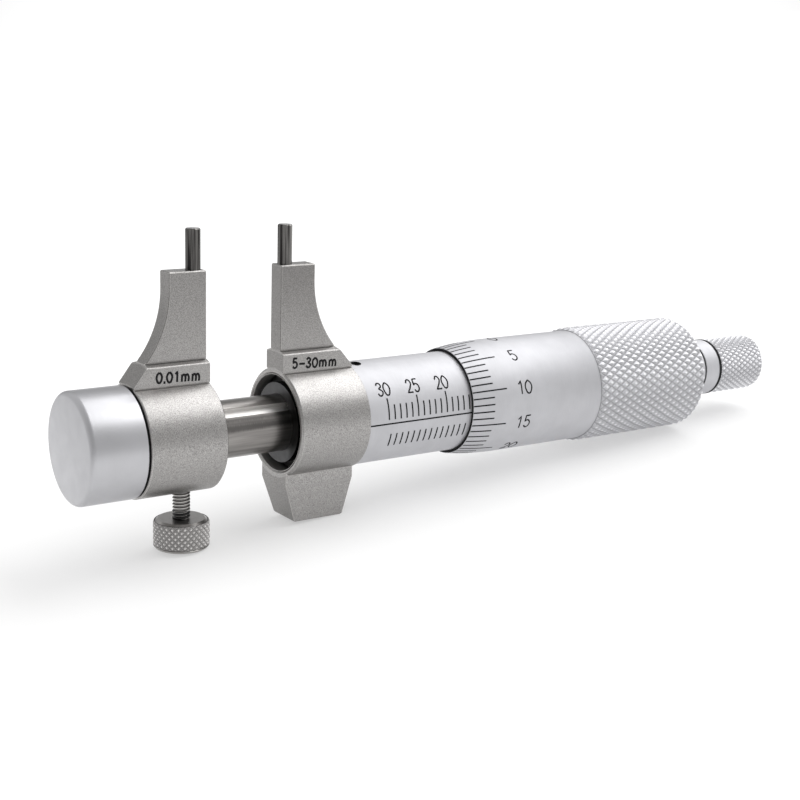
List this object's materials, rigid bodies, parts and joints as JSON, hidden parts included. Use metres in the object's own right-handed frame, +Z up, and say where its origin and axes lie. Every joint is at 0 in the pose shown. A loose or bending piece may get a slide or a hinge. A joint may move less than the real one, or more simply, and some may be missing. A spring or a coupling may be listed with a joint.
{
  "type": "inside micrometer",
  "caption": "Inside micrometer with two thin upright jaws and measuring pins, a sliding jaw, a graduated sleeve and thimble, a ratchet stop and a clamp screw.",
  "frame": {"origin": "middle of the bounding box in plan, on the floor that the instrument stands on", "axes": "+X from the end cap towards the ratchet along the spindle's plan direction, +Z up; the spindle axis dips 4.3 degrees towards +X because the instrument stands on its foot and its grip; -Y faces the scale"},
  "size_m": [0.1238, 0.0178, 0.0426],
  "materials": {
    "jaw_steel": "bead blasted",
    "ground_steel": "ground",
    "dark_steel": "machined",
    "satin_chrome": "satin",
    "knurled_steel": "knurled",
    "bronze": "machined"
  },
  "bodies": {
    "frame": {"fixed_jaw": "jaw_steel", "fixed_measuring_pin": "ground_steel", "guide_barrel": "dark_steel", "guide_key": "ground_steel", "scale_sleeve": "satin_chrome", "adjusting_nut": "dark_steel"},
    "carriage": {"moving_jaw": "jaw_steel", "moving_measuring_pin": "ground_steel", "guide_shaft": "ground_steel", "tail_thrust_washer": "bronze", "screw_thrust_washer": "bronze", "end_cap": "satin_chrome"},
    "thimble_group": {"spindle": "ground_steel", "spindle_nut": "dark_steel", "thimble": "satin_chrome", "thimble_lock_nut": "satin_chrome", "ratchet_neck": "satin_chrome", "ratchet_screw": "dark_steel"},
    "ratchet_group": {"ratchet_knob": "satin_chrome", "ratchet_pawl": "ground_steel", "ratchet_spring": "ground_steel"},
    "pad": {"clamp_pad": "bronze"},
    "thumb_screw": {"clamp_screw": "knurled_steel"}
  },
  "joints": [
    {"name": "jaw_slide", "type": "slide", "parent": "frame", "child": "carriage", "axis": [-0.9972, 0, 0.0752], "range_m": [-0.01063, 0.01437]},
    {"name": "thimble_turn", "type": "hinge", "parent": "carriage", "child": "thimble_group", "pos_m": [-0.01772, 0, 0.01343], "axis": [-0.9972, 0, 0.0752], "range_deg": [-7653.61, 10346.41]},
    {"name": "ratchet_turn", "type": "hinge", "parent": "thimble_group", "child": "ratchet_group", "pos_m": [0.05116, 0, 0.00824], "axis": [-0.9972, 0, 0.0752], "continuous": true},
    {"name": "clamp_slide", "type": "slide", "parent": "carriage", "child": "pad", "axis": [-0.0752, 0, -0.9972], "range_m": [0, 0.0009]},
    {"name": "clamp_turn", "type": "hinge", "parent": "pad", "child": "thumb_screw", "pos_m": [-0.0467, 0, 0.00422], "axis": [-0.0752, 0, -0.9972], "range_deg": [0, 720.01]}
  ],
  "couplings": [
    {"joint": "thimble_turn", "follows": "jaw_slide", "rad_per_m": 12566},
    {"joint": "clamp_turn", "follows": "clamp_slide", "rad_per_m": 13963}
  ]
}
